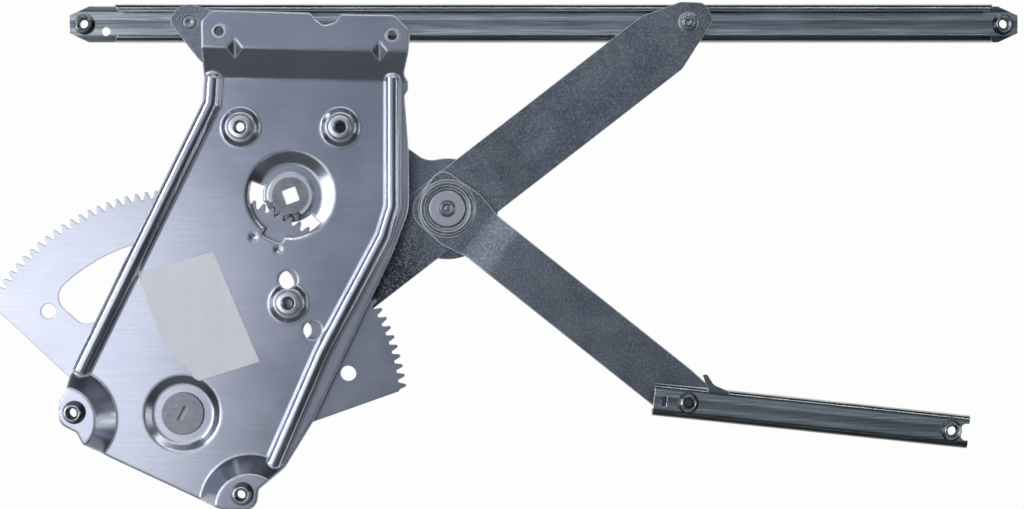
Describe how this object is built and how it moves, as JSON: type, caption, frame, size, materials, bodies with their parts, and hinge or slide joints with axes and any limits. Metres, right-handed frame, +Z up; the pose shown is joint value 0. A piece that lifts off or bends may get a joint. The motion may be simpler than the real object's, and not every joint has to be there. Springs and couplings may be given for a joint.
{
  "type": "window regulator",
  "caption": "Crossed-arm car window regulator: pinion, toothed sector and lift arm on a stamped plate, with an equaliser arm and two channel rails.",
  "frame": {"origin": "mouth of the drive socket on the pinion's axis, level with the base plate's main face", "axes": "+X along the glass rail towards the lift arm's tip, +Y from the door's inner panel towards the glass, +Z up"},
  "size_m": [0.5707, 0.0478, 0.2796],
  "materials": {
    "plate_zinc": "zinc-plated stamped sheet",
    "nut_zinc": "bright zinc plate",
    "rivet_steel": "bare cold-formed steel",
    "pinion_steel": "sintered steel, dull",
    "sector_steel": "zinc-plated sheet",
    "arm_steel": "dark zinc with a mottled skin",
    "rail_steel": "galvanised roll-formed strip",
    "roller_nylon": "natural nylon"
  },
  "bodies": {
    "base": {"base_plate": "plate_zinc", "panel_nuts": "nut_zinc", "door_nuts": "nut_zinc", "motor_nuts": "nut_zinc", "pivot_rivet": "rivet_steel", "pivot_washer": "rivet_steel"},
    "pinion": {"drive_pinion": "pinion_steel", "pinion_ring": "nut_zinc"},
    "lift": {"sector_gear": "sector_steel", "sector_rivets": "rivet_steel", "lift_arm": "arm_steel", "lift_roller_pin": "rivet_steel"},
    "lift_roller": {"lift_roller": "roller_nylon"},
    "equaliser": {"lower_equaliser_arm": "arm_steel", "upper_equaliser_arm": "arm_steel", "centre_rivet": "rivet_steel", "centre_bush": "rivet_steel", "centre_washer": "nut_zinc", "upper_roller_pin": "rivet_steel", "guide_roller_pin": "rivet_steel"},
    "upper_roller": {"upper_roller": "roller_nylon"},
    "glass_rail": {"glass_rail": "rail_steel", "glass_rail_nuts": "nut_zinc"},
    "guide_roller": {"guide_roller": "roller_nylon"},
    "guide_rail": {"guide_rail": "rail_steel", "guide_rail_nuts": "nut_zinc"}
  },
  "joints": [
    {"name": "lift", "type": "hinge", "parent": "base", "child": "lift", "pos_m": [-0.05921, 0.0068, -0.12007], "axis": [0, -1, 0], "range_deg": [-75, 3.5]},
    {"name": "pinion_turn", "type": "hinge", "parent": "base", "child": "pinion", "pos_m": [0, 0.0068, 0], "axis": [0, -1, 0], "range_deg": [-40, 812]},
    {"name": "lift_roller_turn", "type": "hinge", "parent": "lift", "child": "lift_roller", "pos_m": [0.21995, 0.021, 0.09647], "axis": [0, -1, 0], "continuous": true},
    {"name": "equaliser_turn", "type": "hinge", "parent": "lift", "child": "equaliser", "pos_m": [0.08633, 0.01, -0.00717], "axis": [0, -1, 0], "range_deg": [-8, 151]},
    {"name": "upper_roller_turn", "type": "hinge", "parent": "equaliser", "child": "upper_roller", "pos_m": [-0.05665, 0.021, 0.09647], "axis": [0, -1, 0], "range_deg": [-74, 4]},
    {"name": "glass_rail_slide", "type": "slide", "parent": "upper_roller", "child": "glass_rail", "axis": [1, 0, 0], "range_m": [-0.075, 0.025]},
    {"name": "guide_roller_turn", "type": "hinge", "parent": "equaliser", "child": "guide_roller", "pos_m": [0.21999, -0.005, -0.1136], "axis": [0, -1, 0], "range_deg": [-76, 4]},
    {"name": "guide_rail_slide", "type": "slide", "parent": "guide_roller", "child": "guide_rail", "axis": [0.9945, 0, -0.1045], "range_m": [-0.13, 0.005]}
  ],
  "couplings": [
    {"joint": "pinion_turn", "follows": "lift", "ratio": -10.769},
    {"joint": "equaliser_turn", "follows": "lift", "ratio": -2},
    {"joint": "upper_roller_turn", "follows": "lift", "ratio": 0.97507},
    {"joint": "guide_roller_turn", "follows": "lift", "ratio": 1}
  ]
}
